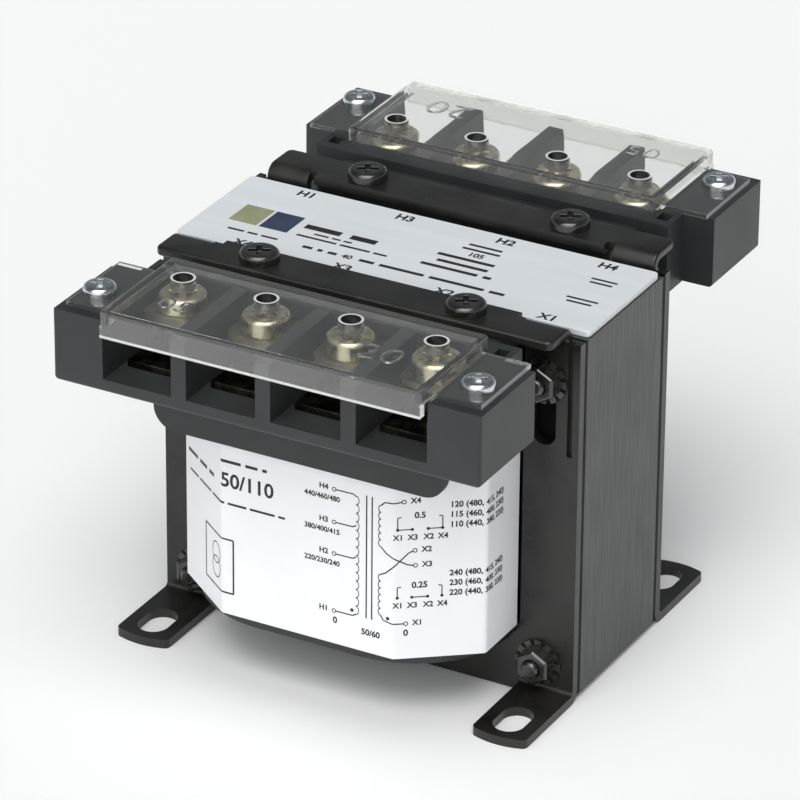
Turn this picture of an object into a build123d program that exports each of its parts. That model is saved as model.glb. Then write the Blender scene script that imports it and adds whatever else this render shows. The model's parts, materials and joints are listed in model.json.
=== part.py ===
from build123d import *
import os

# Control transformer: a laminated core held between two pressed steel frames, a coil in
# two shrouds, and a screw-terminal block with a clear cover along the front and the rear.
# X runs along the terminal blocks, Y from the front block to the rear one, Z up. The
# origin is on the floor below the middle of the core. Sizes are in millimetres.

# Core of E and I sheets
core_width = 76.2
core_stack = 28.4
centre_leg = 25.4
side_leg = 12.7
yoke_height = 12.7
window_height = 38.1
core_lift = 1.2
sheet_line_pitch = 1.0
sheet_line_width = 0.12
sheet_line_depth = 0.04

# Through bolts, nuts and toothed washers
bolt_diameter = 3.0
bolt_hole = 3.4
bolt_inset = 6.2
bolt_drop = 1.0
bolt_end = 1.0
bolt_chamfer = 0.4
nut_flats = 5.5
nut_height = 2.4
nut_chamfer = 0.35
nut_turn = 30
head_height = 2.0
thread_clearance = 0.05
washer_diameter = 7.9
washer_root = 6.2
washer_thickness = 0.6
washer_teeth = 12
washer_tooth = 1.2
washer_tooth_root = 0.1

# Coil on its bobbin
bobbin_clearance = 0.3
bobbin_wall = 1.0
bobbin_flange = 1.2
bobbin_margin = 1.4
layer_gap = 0.1
coil_side_gap = 0.8
coil_end_gap = 2.3
primary_share_x = 0.52
primary_share_y = 0.49
primary_corner = 7.5
tape_thickness = 0.3

# Shrouds over the two open ends of the coil, with their printed wraps
shroud_side_gap = 0.7
shroud_reach = 19.8
shroud_wall = 1.0
shroud_facet_x = 12.0
shroud_facet_y = 9.1
shroud_fold = 1.2
shroud_low = 10.7
shroud_floor = 1.4
shroud_floor_corner = 18.0
shroud_floor_round = 0.3
shroud_clearance = 0.1
shroud_headroom = 5.0
label_thickness = 0.2

# Pressed steel frames with feet and top flange
sheet = 1.6
bend_inside = 0.8
leg_width = 9.8
strip_low = 0.2
strip_high = 12.4
leg_over_core = 0.1
foot_length = 17.3
foot_bow = 1.0
foot_corner = 1.0
foot_slot_width = 5.3
foot_slot_length = 8.2
foot_slot_inset = 6.0
flange_over_core = 2.7
flange_depth = 6.2
flange_corner = 1.2
flange_edge_round = 0.5
flange_gap = 0.1
relief_width = 1.4
relief_depth = 1.5
frame_slot_width = 4.2
frame_slot_drop = 11.6
groove_width = 0.9
groove_depth = 0.9
groove_rim = 1.2
groove_length = 20.1

# Nameplate on the core
plate_margin_x = 0.3
plate_margin_y = 1.75
plate_thickness = 1.1
plate_corner = 0.8

# Terminal blocks
terminal_count = 4
block_overhang = 0.15
ear_width = 7.85
ear_depth = 18.1
body_overhang = 2.4
body_depth = 6.1
neck_length = 3.6
neck_gap = 0.2
neck_washer_gap = 0.8
block_height = 12.4
front_slope_rise = 3.7
front_slope_run = 0.45
block_round = 0.8
apron_inset = 3.9
apron_setback = 11.1
apron_wall = 1.3
apron_drop = 10.4
apron_corner = 4.0
entry_rib = 2.7
entry_depth = 10.1
entry_back_wall = 1.5
body_pocket_width = 2.0
body_pocket_length = 2.6
body_pocket_depth = 2.0

# Contact bars, clamping plates and terminal screws
bar_side_gap = 1.05
bar_thickness = 1.2
bar_setback = 5.8
bar_clearance = 0.2
neck_diameter = 6.0
neck_hole_clearance = 0.3
bar_neck = 2.1
tail_width = 3.0
tail_thickness = 1.0
tail_rise_share = 0.2
tail_clearance = 0.15
clamp_travel = 4.9
clamp_rest_gap = 0.1
clamp_plate_side_gap = 1.45
clamp_plate_depth = 8.6
clamp_plate_thickness = 1.2
clamp_plate_corner = 1.0
clamp_plate_back_gap = 0.7
clamp_rib_width = 0.8
clamp_rib_depth = 0.25
clamp_rib_pitch = 2.0
clamp_rib_count = 4
terminal_screw_diameter = 3.9
terminal_hole_clearance = 0.05
terminal_head_diameter = 7.9
terminal_head_height = 2.6
terminal_screw_length = 9.4

# Small screws
recess_width = 0.9
recess_share = 0.55
recess_depth = 1.2
recess_turn = 28
head_round = 0.8
block_screw_spacing = 37.6
block_screw_inset = 4.0
block_screw_diameter = 3.5
block_screw_head = 6.6
block_screw_head_height = 1.8
block_screw_length = 10.0
flange_hole_clearance = 0.2
cover_screw_inset_x = 4.35
cover_screw_inset_y = 7.5
cover_screw_diameter = 2.6
cover_screw_head = 5.5
cover_screw_head_height = 1.6
cover_screw_length = 7.0
cover_hole_clearance = 0.2
pilot_depth = 0.6

# Clear covers
cover_inset = 1.8
cover_overhang = 1.5
cover_back_overlap = 1.4
cover_height = 2.8
cover_wall = 1.3
cover_apron = 2.0
cover_front_gap = 0.1
cover_tab_inset_x = 1.15
cover_tab_inset_front = 2.4
cover_tab_inset_back = 0.7
cover_tab_thickness = 0.8
cover_round = 0.5
access_hole = 3.3
access_ring = 4.1
access_rim = 0.3
access_sleeve = 1.0

# Lead wires
lead_diameter = 0.9
lead_hole = 1.6
lead_rise_share = 0.5
lead_bend = 1.2
lead_share = 0.7
lead_straight = 2.0

# Heights of the core, the flange and the block that hangs from it
core_bottom = core_lift
window_bottom = core_bottom + yoke_height
window_top = window_bottom + window_height
core_top = window_top + yoke_height
core_middle = (core_bottom + core_top) / 2
core_height = core_top - core_bottom
bolt_low = core_bottom + bolt_inset - bolt_drop
bolt_high = core_top - bolt_inset - bolt_drop
leg_top = core_top + leg_over_core
flange_top = core_top + flange_over_core
flange_low = flange_top - sheet
frame_slot_high = bolt_high + frame_slot_width / 2
frame_slot_low = bolt_high - frame_slot_drop
groove_low = leg_top - groove_length
block_base = flange_top - block_height
apron_base = block_base - apron_drop
entry_floor = flange_top - entry_depth
bar_top = entry_floor + bar_thickness
bar_neck_low = entry_floor - bar_neck
bobbin_low = window_bottom + bobbin_clearance
bobbin_high = window_top - bobbin_clearance
lead_room = block_base - bobbin_high
tail_low = bobbin_high + tail_rise_share * lead_room
clamp_plate_low = bar_top + clamp_travel + clamp_rest_gap
terminal_head_low = clamp_plate_low + clamp_plate_thickness
terminal_head_top = terminal_head_low + terminal_head_height
cover_top = flange_top + cover_height
cover_front_low = flange_top - cover_apron
cover_tab_top = flange_top + cover_tab_thickness
shroud_top = block_base - shroud_headroom
label_low = shroud_low + shroud_floor
lead_height = bobbin_high + lead_rise_share * lead_room

# Distances from the middle along X
core_half = core_width / 2
leg_inside = core_half - side_leg
bolt_x = core_half - bolt_inset
frame_inside = core_half - leg_width
foot_slot_x = core_half - leg_width / 2
groove_inside = core_half - groove_rim - groove_width
block_half = core_half + block_overhang
terminals_half = block_half - ear_width
terminal_pitch = 2 * terminals_half / terminal_count
terminal_xs = [(i + 0.5) * terminal_pitch - terminals_half for i in range(terminal_count)]
entry_width = terminal_pitch - entry_rib
bar_width = entry_width - 2 * bar_side_gap
clamp_plate_width = entry_width - 2 * clamp_plate_side_gap
body_half = terminals_half + body_overhang
neck_half = bolt_x - washer_diameter / 2 - neck_washer_gap
apron_half = terminals_half - apron_inset
block_screw_x = block_screw_spacing / 2
terminal_hole = terminal_screw_diameter / 2 + terminal_hole_clearance
cover_half = terminals_half - cover_inset
cover_tab_half = block_half - cover_tab_inset_x
cover_screw_x = block_half - cover_screw_inset_x
body_pocket_x = (body_half + cover_half) / 2
shroud_half = frame_inside - shroud_side_gap

# Distances from the middle along Y, to the front and to the rear alike
core_face = core_stack / 2
frame_face = core_face + sheet
foot_reach = frame_face + foot_length
foot_slot_y = foot_reach - foot_slot_inset
flange_edge = core_face + flange_gap
flange_reach = frame_face + flange_depth
block_screw_y = flange_reach - block_screw_inset
body_back = flange_reach + neck_length
ear_back = body_back + body_depth
entry_back = ear_back - entry_back_wall
terminal_y = entry_back + clamp_plate_back_gap + clamp_plate_depth / 2
block_front = ear_back + ear_depth
apron_front = block_front - apron_setback
bar_front = block_front - bar_setback
tail_back = entry_back + bar_clearance
body_pocket_y = (ear_back + body_back) / 2
cover_front = block_front + cover_overhang
cover_wall_back = block_front + cover_front_gap
cover_back = entry_back - cover_back_overlap
cover_tab_front = block_front - cover_tab_inset_front
cover_tab_back = ear_back - cover_tab_inset_back
cover_screw_y = block_front - cover_screw_inset_y
shroud_back = frame_face + shroud_clearance
shroud_front = frame_face + shroud_reach
bobbin_reach = shroud_front - shroud_wall - bobbin_margin

# Coil, from the core's centre leg outwards and between the bobbin's flanges
tube_x = centre_leg / 2 + bobbin_clearance + bobbin_wall
tube_y = core_face + bobbin_clearance + bobbin_wall
coil_low = bobbin_low + bobbin_flange
coil_high = bobbin_high - bobbin_flange
wrap_x = leg_inside - coil_side_gap
wrap_y = bobbin_reach - coil_end_gap
layers_and_gaps = 2 * tape_thickness + 4 * layer_gap
primary_build_x = primary_share_x * (wrap_x - tube_x - layers_and_gaps)
primary_build_y = primary_share_y * (wrap_y - tube_y - layers_and_gaps)
primary_x = tube_x + layer_gap + primary_build_x
primary_y = tube_y + layer_gap + primary_build_y
insulation_x = primary_x + layer_gap + tape_thickness
insulation_y = primary_y + layer_gap + tape_thickness
insulation_corner = primary_corner + layer_gap + tape_thickness
secondary_x = wrap_x - tape_thickness - layer_gap
secondary_y = wrap_y - tape_thickness - layer_gap
secondary_corner = insulation_corner + secondary_x - insulation_x
secondary_lead_y = (insulation_y + secondary_y) / 2
primary_lead_y = (tube_y + primary_y) / 2

os.makedirs("parts", exist_ok=True)


def save(piece, name):
    piece.part.label = name
    export_step(piece.part, f"parts/{name}.step")


def save_rear(piece, name):
    # The rear set is the front set turned half round the vertical axis
    with BuildPart() as rear:
        add(piece.part.rotate(Axis.Z, 180))
    save(rear, name)


def sheet_lines():
    # The joints between the stamped sheets show as fine lines round the stack
    count = int(core_stack / sheet_line_pitch) - 1
    starts = [(i - count / 2) * sheet_line_pitch for i in range(count + 1)]
    with BuildSketch(*[Plane.XZ.offset(start - sheet_line_width / 2) for start in starts]) as lines:
        with Locations((0, core_middle)):
            Rectangle(core_width, core_height)
            Rectangle(core_width - 2 * sheet_line_depth, core_height - 2 * sheet_line_depth,
                      mode=Mode.SUBTRACT)
    extrude(lines.sketch, amount=sheet_line_width, mode=Mode.SUBTRACT)


def ring_layer(inner_x, inner_y, inner_corner, outer_x, outer_y, outer_corner):
    # One wound layer between the bobbin's flanges
    with BuildSketch(Plane.XY.offset(coil_low + layer_gap)) as ring:
        RectangleRounded(2 * outer_x, 2 * outer_y, outer_corner)
        RectangleRounded(2 * inner_x, 2 * inner_y, inner_corner, mode=Mode.SUBTRACT)
    extrude(ring.sketch, amount=coil_high - coil_low - 2 * layer_gap)


def faceted_end(side, front):
    # Points round a front end that has a facet at each corner
    return [(-side, -front + shroud_facet_y), (-side + shroud_facet_x, -front),
            (side - shroud_facet_x, -front), (side, -front + shroud_facet_y)]


def faceted_outline(inset):
    # Plan of a shroud layer: straight at the back, with a facet at each front corner
    side = shroud_half - inset
    with BuildSketch(mode=Mode.PRIVATE) as plan:
        with BuildLine():
            Polyline((-side, -shroud_back), *faceted_end(side, shroud_front - inset), (side, -shroud_back),
                     close=True)
        make_face()
        fillet(plan.vertices().group_by(Axis.Y)[0] + plan.vertices().group_by(Axis.Y)[1], shroud_fold)
    return plan.sketch


def screw(places, top, head, head_height, shank, length, turn):
    # Round-headed screws with a cross recess, pointing down
    with Locations(*[(x, y, top) for x, y in places]):
        Cylinder(head / 2, head_height, align=(Align.CENTER, Align.CENTER, Align.MAX))
    fillet(edges().filter_by(GeomType.CIRCLE).group_by(Axis.Z)[-1], head_round)
    with Locations(*[(x, y, top - head_height) for x, y in places]):
        Cylinder(shank / 2, length, align=(Align.CENTER, Align.CENTER, Align.MAX))
    with BuildSketch(Plane.XY.offset(top)) as cross:
        with Locations(*places):
            Rectangle(head * recess_share, recess_width, rotation=turn)
            Rectangle(recess_width, head * recess_share, rotation=turn)
    extrude(cross.sketch, amount=-recess_depth, mode=Mode.SUBTRACT)


# Core sheets: the E's are stacked with their back down, the I's close them above

with BuildPart() as e_laminations:
    with BuildSketch(Plane.XZ):
        with Locations((0, (core_bottom + window_top) / 2)):
            Rectangle(core_width, window_top - core_bottom)
        with Locations(*[(side * (centre_leg / 2 + leg_inside) / 2, (window_bottom + window_top) / 2)
                         for side in (-1, 1)]):
            Rectangle(leg_inside - centre_leg / 2, window_height, mode=Mode.SUBTRACT)
        with Locations((-bolt_x, bolt_low), (bolt_x, bolt_low)):
            Circle(bolt_hole / 2, mode=Mode.SUBTRACT)
    extrude(amount=core_stack / 2, both=True)
    sheet_lines()
save(e_laminations, "e_laminations")

with BuildPart() as i_laminations:
    with BuildSketch(Plane.XZ):
        with Locations((0, (window_top + core_top) / 2)):
            Rectangle(core_width, yoke_height)
        with Locations((-bolt_x, bolt_high), (bolt_x, bolt_high)):
            Circle(bolt_hole / 2, mode=Mode.SUBTRACT)
    extrude(amount=core_stack / 2, both=True)
    sheet_lines()
save(i_laminations, "i_laminations")

# Coil: bobbin, inner winding, insulation, outer winding and its tape

with BuildPart() as bobbin:
    flange_end = faceted_end(leg_inside - bobbin_clearance, bobbin_reach)
    with BuildSketch(Plane.XY.offset(bobbin_low), Plane.XY.offset(bobbin_high - bobbin_flange)):
        with BuildLine():
            Polyline(*flange_end, *[(-x, -y) for x, y in flange_end], close=True)
        make_face()
    extrude(amount=bobbin_flange)
    with BuildSketch(Plane.XY.offset(bobbin_low)):
        RectangleRounded(2 * tube_x, 2 * tube_y, bobbin_wall)
    extrude(amount=bobbin_high - bobbin_low)
    with BuildSketch(Plane.XY.offset(bobbin_low)):
        Rectangle(2 * (tube_x - bobbin_wall), 2 * (tube_y - bobbin_wall))
    extrude(amount=bobbin_high - bobbin_low, mode=Mode.SUBTRACT)
    with BuildSketch(Plane.XY.offset(bobbin_high)):
        with Locations(*[(x * lead_share, -secondary_lead_y) for x in terminal_xs],
                       *[(x * lead_share, primary_lead_y) for x in terminal_xs]):
            Circle(lead_hole / 2)
    extrude(amount=-bobbin_flange, mode=Mode.SUBTRACT)
save(bobbin, "bobbin")

with BuildPart() as primary_winding:
    ring_layer(tube_x + layer_gap, tube_y + layer_gap, bobbin_wall, primary_x, primary_y, primary_corner)
save(primary_winding, "primary_winding")

with BuildPart() as winding_insulation:
    ring_layer(primary_x + layer_gap, primary_y + layer_gap, primary_corner + layer_gap,
               insulation_x, insulation_y, insulation_corner)
save(winding_insulation, "winding_insulation")

with BuildPart() as secondary_winding:
    ring_layer(insulation_x + layer_gap, insulation_y + layer_gap, insulation_corner + layer_gap,
               secondary_x, secondary_y, secondary_corner)
save(secondary_winding, "secondary_winding")

with BuildPart() as outer_tape:
    ring_layer(secondary_x + layer_gap, secondary_y + layer_gap, secondary_corner + layer_gap,
               wrap_x, wrap_y, secondary_corner + layer_gap + tape_thickness)
save(outer_tape, "outer_tape")

# Coil shrouds: a faceted wall on a floor with wide round corners, in front of the frame's strip

with BuildPart() as front_coil_shroud:
    with BuildSketch(Plane.XY.offset(shroud_low)) as floor:
        with Locations((0, -(shroud_back + shroud_front) / 2)):
            Rectangle(2 * shroud_half, shroud_front - shroud_back)
        fillet(floor.vertices().group_by(Axis.Y)[0], shroud_floor_corner)
    extrude(amount=shroud_floor)
    fillet(faces().sort_by(Axis.Z)[0].edges() - edges().group_by(Axis.Y)[-1], shroud_floor_round)
    with BuildSketch(Plane.XY.offset(label_low)):
        add(faceted_outline(0))
        add(faceted_outline(shroud_wall), mode=Mode.SUBTRACT)
    extrude(amount=shroud_top - label_low)
save(front_coil_shroud, "front_coil_shroud")
save_rear(front_coil_shroud, "rear_coil_shroud")

with BuildPart() as front_coil_label:
    with BuildSketch(Plane.XY.offset(label_low)):
        add(faceted_outline(-label_thickness))
        add(faceted_outline(0), mode=Mode.SUBTRACT)
    extrude(amount=shroud_top - label_low)
save(front_coil_label, "front_coil_label")
save_rear(front_coil_label, "rear_coil_label")

# Frames: legs, bottom strip, outward feet and the flange that carries the terminal block

with BuildPart() as front_clamp_frame:
    # The bent sheet of one leg, from the foot up to the flange, in two widths
    with BuildSketch(Plane.YZ.offset(frame_inside)) as bent:
        with BuildLine():
            Polyline((-flange_reach, 0), (-core_face, 0), (-core_face, flange_top),
                     (-flange_reach, flange_top), (-flange_reach, flange_low),
                     (-frame_face, flange_low), (-frame_face, sheet), (-flange_reach, sheet),
                     close=True)
        make_face()
        fillet(bent.vertices().group_by(Axis.X)[-1], bend_inside + sheet)
        fillet(bent.vertices().filter_by(lambda v: v.X == -frame_face), bend_inside)
    extrude(amount=groove_inside - frame_inside)
    with BuildSketch(Plane.YZ.offset(groove_inside)) as straight:
        with BuildLine():
            Polyline((-flange_reach, 0), (-core_face, 0), (-core_face, leg_top),
                     (-frame_face, leg_top), (-frame_face, sheet), (-flange_reach, sheet),
                     close=True)
        make_face()
        fillet(straight.vertices().group_by(Axis.X)[-1].sort_by(Axis.Y)[:1], bend_inside + sheet)
        fillet(straight.vertices().sort_by_distance((-frame_face, sheet))[:1], bend_inside)
    extrude(amount=core_half - groove_inside)
    # The foot's bowed end
    with BuildSketch() as foot:
        with BuildLine():
            Polyline((core_half, -foot_reach + foot_bow), (core_half, -frame_face - foot_bow),
                     (frame_inside, -frame_face - foot_bow), (frame_inside, -foot_reach + foot_bow))
            ThreePointArc((frame_inside, -foot_reach + foot_bow), (foot_slot_x, -foot_reach),
                          (core_half, -foot_reach + foot_bow))
        make_face()
        fillet(foot.vertices().group_by(Axis.Y)[0], foot_corner)
    extrude(amount=sheet)
    mirror(about=Plane.YZ)
    # Bottom strip between the legs and the flat middle of the flange
    with BuildSketch(Plane.XZ.offset(core_face)):
        with Locations((0, (strip_low + strip_high) / 2)):
            Rectangle(2 * frame_inside, strip_high - strip_low)
    extrude(amount=sheet)
    with BuildSketch(Plane.XY.offset(flange_low)):
        with Locations((0, -(flange_edge + flange_reach) / 2)):
            Rectangle(2 * frame_inside, flange_reach - flange_edge)
    extrude(amount=sheet)
    with BuildSketch(Plane.XY.offset(flange_low - sheet)):
        with Locations(*[(side * (frame_inside - relief_width / 2), -core_face - relief_depth / 2)
                         for side in (-1, 1)]):
            Rectangle(relief_width, relief_depth)
    extrude(amount=2 * sheet, mode=Mode.SUBTRACT)
    # Rounded corners and edges of the flange
    flange_ends = edges().filter_by(Axis.Z).filter_by_position(Axis.Z, flange_low, flange_top)
    fillet(flange_ends.group_by(Axis.Y)[0], flange_corner)
    flange_lips = edges().filter_by(Axis.X).filter_by_position(Axis.Z, flange_low, flange_top)
    fillet(flange_lips.group_by(Axis.Y)[0], flange_edge_round)
    # Foot slots, bolt holes and slots, the block's screw holes and the pressed grooves
    with BuildSketch():
        with Locations((-foot_slot_x, -foot_slot_y), (foot_slot_x, -foot_slot_y)):
            SlotOverall(foot_slot_length, foot_slot_width, rotation=90)
    extrude(amount=sheet, mode=Mode.SUBTRACT)
    with BuildSketch(Plane.XZ.offset(core_face)):
        with Locations((-bolt_x, bolt_low), (bolt_x, bolt_low)):
            Circle(bolt_hole / 2)
        with Locations(*[(side * bolt_x, (frame_slot_low + frame_slot_high) / 2) for side in (-1, 1)]):
            SlotOverall(frame_slot_high - frame_slot_low, frame_slot_width, rotation=90)
    extrude(amount=sheet, mode=Mode.SUBTRACT)
    with BuildSketch(Plane.XY.offset(flange_low)):
        with Locations((-block_screw_x, -block_screw_y), (block_screw_x, -block_screw_y)):
            Circle(block_screw_diameter / 2 + flange_hole_clearance)
    extrude(amount=sheet, mode=Mode.SUBTRACT)
    with BuildSketch(Plane.XZ.offset(frame_face)):
        with Locations(*[(side * (groove_inside + groove_width / 2), (groove_low + leg_top) / 2)
                         for side in (-1, 1)]):
            Rectangle(groove_width, leg_top - groove_low)
    extrude(amount=-groove_depth, mode=Mode.SUBTRACT)
save(front_clamp_frame, "front_clamp_frame")
save_rear(front_clamp_frame, "rear_clamp_frame")

# Through bolts from the rear, with nuts and toothed washers at the front

bolt_places = [(side * bolt_x, height) for side in (-1, 1) for height in (bolt_low, bolt_high)]

with BuildPart() as core_bolts:
    with BuildSketch(Plane.XZ.offset(-frame_face)):
        with Locations(*bolt_places):
            Circle(bolt_diameter / 2)
    extrude(amount=2 * frame_face + washer_thickness + nut_height + bolt_end)
    chamfer(edges().filter_by(GeomType.CIRCLE).group_by(Axis.Y)[0], bolt_chamfer)
    with BuildSketch(Plane.XZ.offset(-frame_face)):
        with Locations(*bolt_places):
            RegularPolygon(nut_flats / 2, 6, major_radius=False, rotation=nut_turn)
    extrude(amount=-head_height)
    chamfer(faces().group_by(Axis.Y)[-1].edges(), nut_chamfer)
save(core_bolts, "core_bolts")

with BuildPart() as star_washers:
    with BuildSketch(Plane.XZ.offset(frame_face)):
        with Locations(*bolt_places):
            Circle(washer_root / 2)
            with PolarLocations((washer_root + washer_diameter) / 4, washer_teeth):
                Rectangle((washer_diameter - washer_root) / 2 + washer_tooth_root, washer_tooth)
            Circle(bolt_diameter / 2 + thread_clearance, mode=Mode.SUBTRACT)
    extrude(amount=washer_thickness)
save(star_washers, "star_washers")

with BuildPart() as hex_nuts:
    with BuildSketch(Plane.XZ.offset(frame_face + washer_thickness)):
        with Locations(*bolt_places):
            RegularPolygon(nut_flats / 2, 6, major_radius=False, rotation=nut_turn)
    extrude(amount=nut_height)
    chamfer(faces().group_by(Axis.Y)[0].edges(), nut_chamfer)
    with BuildSketch(Plane.XZ.offset(frame_face + washer_thickness)):
        with Locations(*bolt_places):
            Circle(bolt_diameter / 2 + thread_clearance)
    extrude(amount=nut_height, mode=Mode.SUBTRACT)
save(hex_nuts, "hex_nuts")

# Nameplate, flat on the core

with BuildPart() as nameplate:
    with BuildSketch(Plane.XY.offset(core_top)):
        RectangleRounded(core_width - 2 * plate_margin_x, core_stack - 2 * plate_margin_y, plate_corner)
    extrude(amount=plate_thickness)
save(nameplate, "nameplate")

# Terminal block: a moulding with four wire entries, open at the front and above

with BuildPart() as front_terminal_block:
    with BuildSketch(Plane.XY.offset(block_base)):
        with Locations((0, -(block_front + ear_back) / 2)):
            Rectangle(2 * block_half, block_front - ear_back)
        with Locations((0, -(ear_back + body_back) / 2)):
            Rectangle(2 * body_half, ear_back - body_back)
    extrude(amount=flange_top - block_base)
    front_edges = edges().filter_by(Axis.X).group_by(Axis.Y)[0]
    chamfer(front_edges.sort_by(Axis.Z)[-1:], front_slope_rise, front_slope_run,
            reference=faces().sort_by(Axis.Y)[0])
    fillet(faces().sort_by(Axis.Z)[0].edges().filter_by(Axis.X).sort_by(Axis.Y)[:1], block_round)
    fillet(edges().filter_by(Axis.Z).group_by(Axis.Y)[0], block_round)
    with BuildSketch(Plane.XY.offset(block_base)):
        with Locations((0, -(body_back + frame_face + neck_gap) / 2)):
            Rectangle(2 * neck_half, body_back - frame_face - neck_gap)
    extrude(amount=flange_low - block_base)
    # The apron in front of the coil
    with BuildSketch(Plane.XZ.offset(apron_front - apron_wall)) as apron:
        with Locations((0, (apron_base + block_base + block_round) / 2)):
            Rectangle(2 * apron_half, block_base + block_round - apron_base)
        fillet(apron.vertices().group_by(Axis.Y)[0], apron_corner)
    extrude(amount=apron_wall)
    # Wire entries, the holes under them and the slots for the bars' tails
    with BuildSketch(Plane.XY.offset(entry_floor)):
        with Locations(*[(x, -(block_front + entry_back) / 2) for x in terminal_xs]):
            Rectangle(entry_width, block_front - entry_back)
    extrude(amount=flange_top - entry_floor, mode=Mode.SUBTRACT)
    with BuildSketch(Plane.XY.offset(block_base)):
        with Locations(*[(x, -terminal_y) for x in terminal_xs]):
            Circle(neck_diameter / 2 + neck_hole_clearance)
        with Locations(*[(x, -tail_back - tail_thickness / 2) for x in terminal_xs]):
            Rectangle(tail_width + 2 * tail_clearance, tail_thickness + 2 * tail_clearance)
    extrude(amount=entry_floor - block_base, mode=Mode.SUBTRACT)
    # Blind holes for the block's own screws and the cover's screws
    with BuildSketch(Plane.XY.offset(flange_low)):
        with Locations((-block_screw_x, -block_screw_y), (block_screw_x, -block_screw_y)):
            Circle(block_screw_diameter / 2 + thread_clearance)
    extrude(amount=-(block_screw_length - sheet + pilot_depth), mode=Mode.SUBTRACT)
    with BuildSketch(Plane.XY.offset(flange_top)):
        with Locations((-cover_screw_x, -cover_screw_y), (cover_screw_x, -cover_screw_y)):
            Circle(cover_screw_diameter / 2 + thread_clearance)
    extrude(amount=-(cover_screw_length - cover_tab_thickness + pilot_depth), mode=Mode.SUBTRACT)
    # Moulding pockets behind the ears
    with BuildSketch(Plane.XY.offset(flange_top)):
        with Locations((-body_pocket_x, -body_pocket_y), (body_pocket_x, -body_pocket_y)):
            Rectangle(body_pocket_width, body_pocket_length)
    extrude(amount=-body_pocket_depth, mode=Mode.SUBTRACT)
save(front_terminal_block, "front_terminal_block")
save_rear(front_terminal_block, "rear_terminal_block")

# Contact bars: a plated strip in each entry, with a threaded neck and a tail for the lead

with BuildPart() as front_contact_bars:
    with BuildSketch(Plane.XY.offset(entry_floor)):
        with Locations(*[(x, -(bar_front + tail_back) / 2) for x in terminal_xs]):
            Rectangle(bar_width, bar_front - tail_back)
    extrude(amount=bar_thickness)
    with BuildSketch(Plane.XY.offset(bar_neck_low)):
        with Locations(*[(x, -terminal_y) for x in terminal_xs]):
            Circle(neck_diameter / 2)
    extrude(amount=entry_floor - bar_neck_low)
    with BuildSketch(Plane.XY.offset(tail_low)):
        with Locations(*[(x, -tail_back - tail_thickness / 2) for x in terminal_xs]):
            Rectangle(tail_width, tail_thickness)
    extrude(amount=entry_floor - tail_low)
    with BuildSketch(Plane.XY.offset(bar_neck_low)):
        with Locations(*[(x, -terminal_y) for x in terminal_xs]):
            Circle(terminal_hole)
    extrude(amount=bar_top - bar_neck_low, mode=Mode.SUBTRACT)
save(front_contact_bars, "front_contact_bars")
save_rear(front_contact_bars, "rear_contact_bars")

# Clamping plates and terminal screws, one pair for each terminal


def clamp_plate(x, name, side_turn):
    # A square plate with gripping ribs below, held on its screw
    with BuildPart() as plate:
        with BuildSketch(Plane.XY.offset(clamp_plate_low)):
            with Locations((x, -terminal_y)):
                RectangleRounded(clamp_plate_width, clamp_plate_depth, clamp_plate_corner)
                Circle(terminal_hole, mode=Mode.SUBTRACT)
        extrude(amount=clamp_plate_thickness)
        with BuildSketch(Plane.XY.offset(clamp_plate_low)):
            with Locations((x, -terminal_y)):
                with GridLocations(0, clamp_rib_pitch, 1, clamp_rib_count):
                    Rectangle(clamp_plate_width, clamp_rib_width)
        extrude(amount=clamp_rib_depth, mode=Mode.SUBTRACT)
        add(plate.part.rotate(Axis.Z, side_turn), mode=Mode.REPLACE)
    save(plate, name)


def terminal_screw(x, name, side_turn, turn):
    # A round-headed screw, left at its own angle when it was last turned
    with BuildPart() as piece:
        screw([(x, -terminal_y)], terminal_head_top, terminal_head_diameter, terminal_head_height,
              terminal_screw_diameter, terminal_screw_length, turn)
        add(piece.part.rotate(Axis.Z, side_turn), mode=Mode.REPLACE)
    save(piece, name)


front_marks = ("x4", "x3", "x2", "x1")
rear_marks = ("h4", "h2", "h3", "h1")

for i, (x, front_mark, rear_mark) in enumerate(zip(terminal_xs, front_marks, rear_marks)):
    clamp_plate(x, f"clamp_plate_{front_mark}", 0)
    clamp_plate(x, f"clamp_plate_{rear_mark}", 180)
    terminal_screw(x, f"terminal_screw_{front_mark}", 0, (i + 1) * recess_turn)
    terminal_screw(x, f"terminal_screw_{rear_mark}", 180, -(i + 1) * recess_turn)

# Screws that hold the blocks to the flanges and the covers to the blocks

block_screw_places = [(side * block_screw_x, end * block_screw_y) for side in (-1, 1) for end in (-1, 1)]

with BuildPart() as block_screws:
    screw(block_screw_places, flange_top + block_screw_head_height, block_screw_head,
          block_screw_head_height, block_screw_diameter, block_screw_length, recess_turn)
save(block_screws, "block_screws")

cover_screw_places = [(side * cover_screw_x, end * cover_screw_y) for side in (-1, 1) for end in (-1, 1)]

with BuildPart() as cover_screws:
    screw(cover_screw_places, cover_tab_top + cover_screw_head_height, cover_screw_head,
          cover_screw_head_height, cover_screw_diameter, cover_screw_length, recess_turn)
save(cover_screws, "cover_screws")

# Clear cover: a shallow box over the screws, with two tabs and four access holes

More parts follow.
